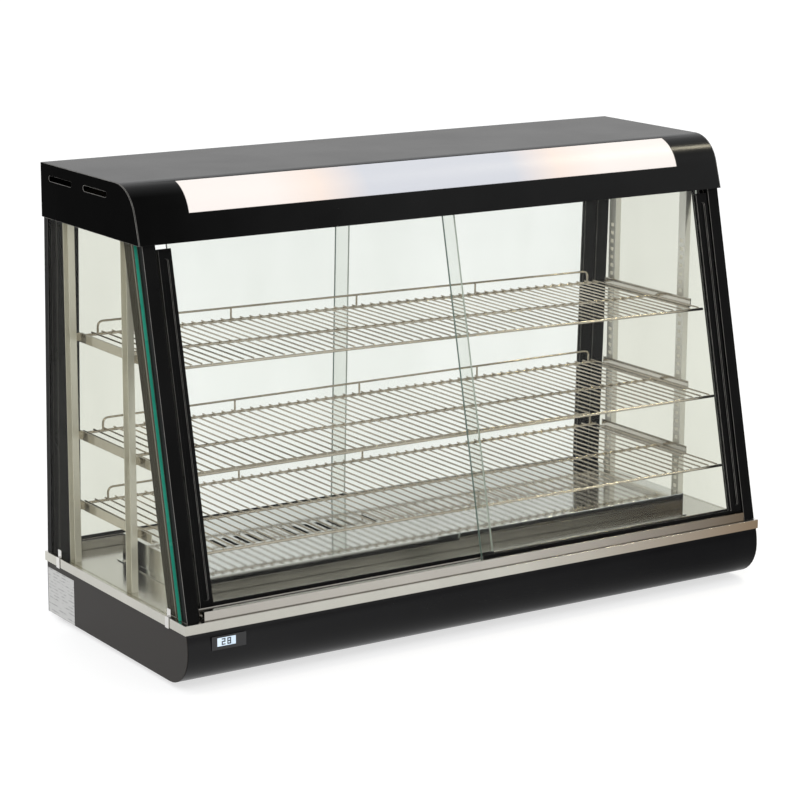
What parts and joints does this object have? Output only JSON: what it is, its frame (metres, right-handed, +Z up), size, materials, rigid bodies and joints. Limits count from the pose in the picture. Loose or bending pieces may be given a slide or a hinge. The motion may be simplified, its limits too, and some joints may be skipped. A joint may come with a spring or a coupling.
{
  "type": "bakery display case",
  "caption": "Heated glass countertop bakery case with wire shelves, sliding doors front and rear, a lit hood and a black base with controls",
  "frame": {"origin": "on the counter, below the middle of the case", "axes": "+X along the width, to the right for a customer facing the case; +Y from the customer's side to the server's side; +Z up"},
  "size_m": [1.2028, 0.5172, 0.81],
  "materials": {
    "base_gloss": "gloss black paint",
    "base_side": "satin black paint",
    "hood": "gloss black paint",
    "ceiling": "plain stainless sheet",
    "diffuser": "opal, lit from behind",
    "lamp": "warm glowing bulb",
    "deck": "stainless sheet, brushed along its length",
    "rail": "stainless sheet",
    "profile": "black anodised profile",
    "standard": "plain stainless channel",
    "bracket": "plain stainless angle",
    "wire": "nickel-bright wire",
    "cover": "bright stainless sheet",
    "element": "heat-darkened steel",
    "thermostat": "zinc-plated can",
    "thermometer": "black bezel",
    "clip": "bright bent strip",
    "glass": "clear, pale green at the edges",
    "foot": "black rubber",
    "control": "black plastic"
  },
  "bodies": {
    "case": {"base_shell": "base_gloss", "base_end_left": "base_side", "base_end_right": "base_side", "foot_front_left": "foot", "foot_rear_left": "foot", "foot_front_right": "foot", "foot_rear_right": "foot", "base_rear_panel": "base_gloss", "thermostat_body": "thermostat", "switch_housing": "control", "cord_gland": "control", "thermometer": "thermometer", "deck": "deck", "front_door_rail": "rail", "rear_door_rail": "rail", "front_top_track": "profile", "rear_top_track": "profile", "front_post_left": "profile", "rear_post_left": "profile", "front_post_right": "profile", "rear_post_right": "profile", "side_glass_left": "glass", "side_glass_right": "glass", "glass_clip_front_left": "clip", "glass_clip_rear_left": "clip", "glass_clip_front_right": "clip", "glass_clip_rear_right": "clip", "hood_shell": "hood", "hood_end_left": "hood", "hood_end_right": "hood", "light_diffuser": "diffuser", "lamp_left": "lamp", "lamp_right": "lamp", "hood_ceiling": "ceiling", "shelf_standard_front_left": "standard", "shelf_standard_rear_left": "standard", "shelf_standard_front_right": "standard", "shelf_standard_rear_right": "standard", "shelf_bracket_bottom_left": "bracket", "shelf_bracket_middle_left": "bracket", "shelf_bracket_top_left": "bracket", "shelf_bracket_bottom_right": "bracket", "shelf_bracket_middle_right": "bracket", "shelf_bracket_top_right": "bracket", "heating_element": "element"},
    "front_door_left": {"front_door_left_glass": "glass", "front_door_left_frame": "profile"},
    "front_door_right": {"front_door_right_glass": "glass", "front_door_right_frame": "profile"},
    "rear_door_left": {"rear_door_left_glass": "glass", "rear_door_left_frame": "profile"},
    "rear_door_right": {"rear_door_right_glass": "glass", "rear_door_right_frame": "profile"},
    "shelf_bottom": {"shelf_bottom": "wire"},
    "shelf_middle": {"shelf_middle": "wire"},
    "shelf_top": {"shelf_top": "wire"},
    "heater_cover": {"heater_cover": "cover"},
    "thermostat_knob": {"thermostat_knob": "control"},
    "heat_switch": {"heat_switch": "control"},
    "light_switch": {"light_switch": "control"}
  },
  "joints": [
    {"name": "front_door_left_slide", "type": "slide", "parent": "case", "child": "front_door_left", "axis": [1, 0, 0], "range_m": [-0.014, 0.53]},
    {"name": "front_door_right_slide", "type": "slide", "parent": "case", "child": "front_door_right", "axis": [-1, 0, 0], "range_m": [0, 0.53]},
    {"name": "rear_door_left_slide", "type": "slide", "parent": "case", "child": "rear_door_left", "axis": [1, 0, 0], "range_m": [0, 0.53]},
    {"name": "rear_door_right_slide", "type": "slide", "parent": "case", "child": "rear_door_right", "axis": [-1, 0, 0], "range_m": [0, 0.53]},
    {"name": "shelf_bottom_lift", "type": "slide", "parent": "case", "child": "shelf_bottom", "axis": [0, 0, 1], "range_m": [0, 0.005]},
    {"name": "shelf_middle_lift", "type": "slide", "parent": "case", "child": "shelf_middle", "axis": [0, 0, 1], "range_m": [0, 0.005]},
    {"name": "shelf_top_lift", "type": "slide", "parent": "case", "child": "shelf_top", "axis": [0, 0, 1], "range_m": [0, 0.005]},
    {"name": "heater_cover_lift", "type": "slide", "parent": "case", "child": "heater_cover", "axis": [0, 0, 1], "range_m": [0, 0.03]},
    {"name": "thermostat_turn", "type": "hinge", "parent": "case", "child": "thermostat_knob", "pos_m": [0.43, 0.245, 0.058], "axis": [0, -1, 0], "range_deg": [0, 270]},
    {"name": "heat_switch_rock", "type": "hinge", "parent": "case", "child": "heat_switch", "pos_m": [0.3425, 0.234, 0.058], "axis": [1, 0, 0], "range_deg": [0, 20]},
    {"name": "light_switch_rock", "type": "hinge", "parent": "case", "child": "light_switch", "pos_m": [0.3175, 0.234, 0.058], "axis": [1, 0, 0], "range_deg": [0, 20]}
  ]
}
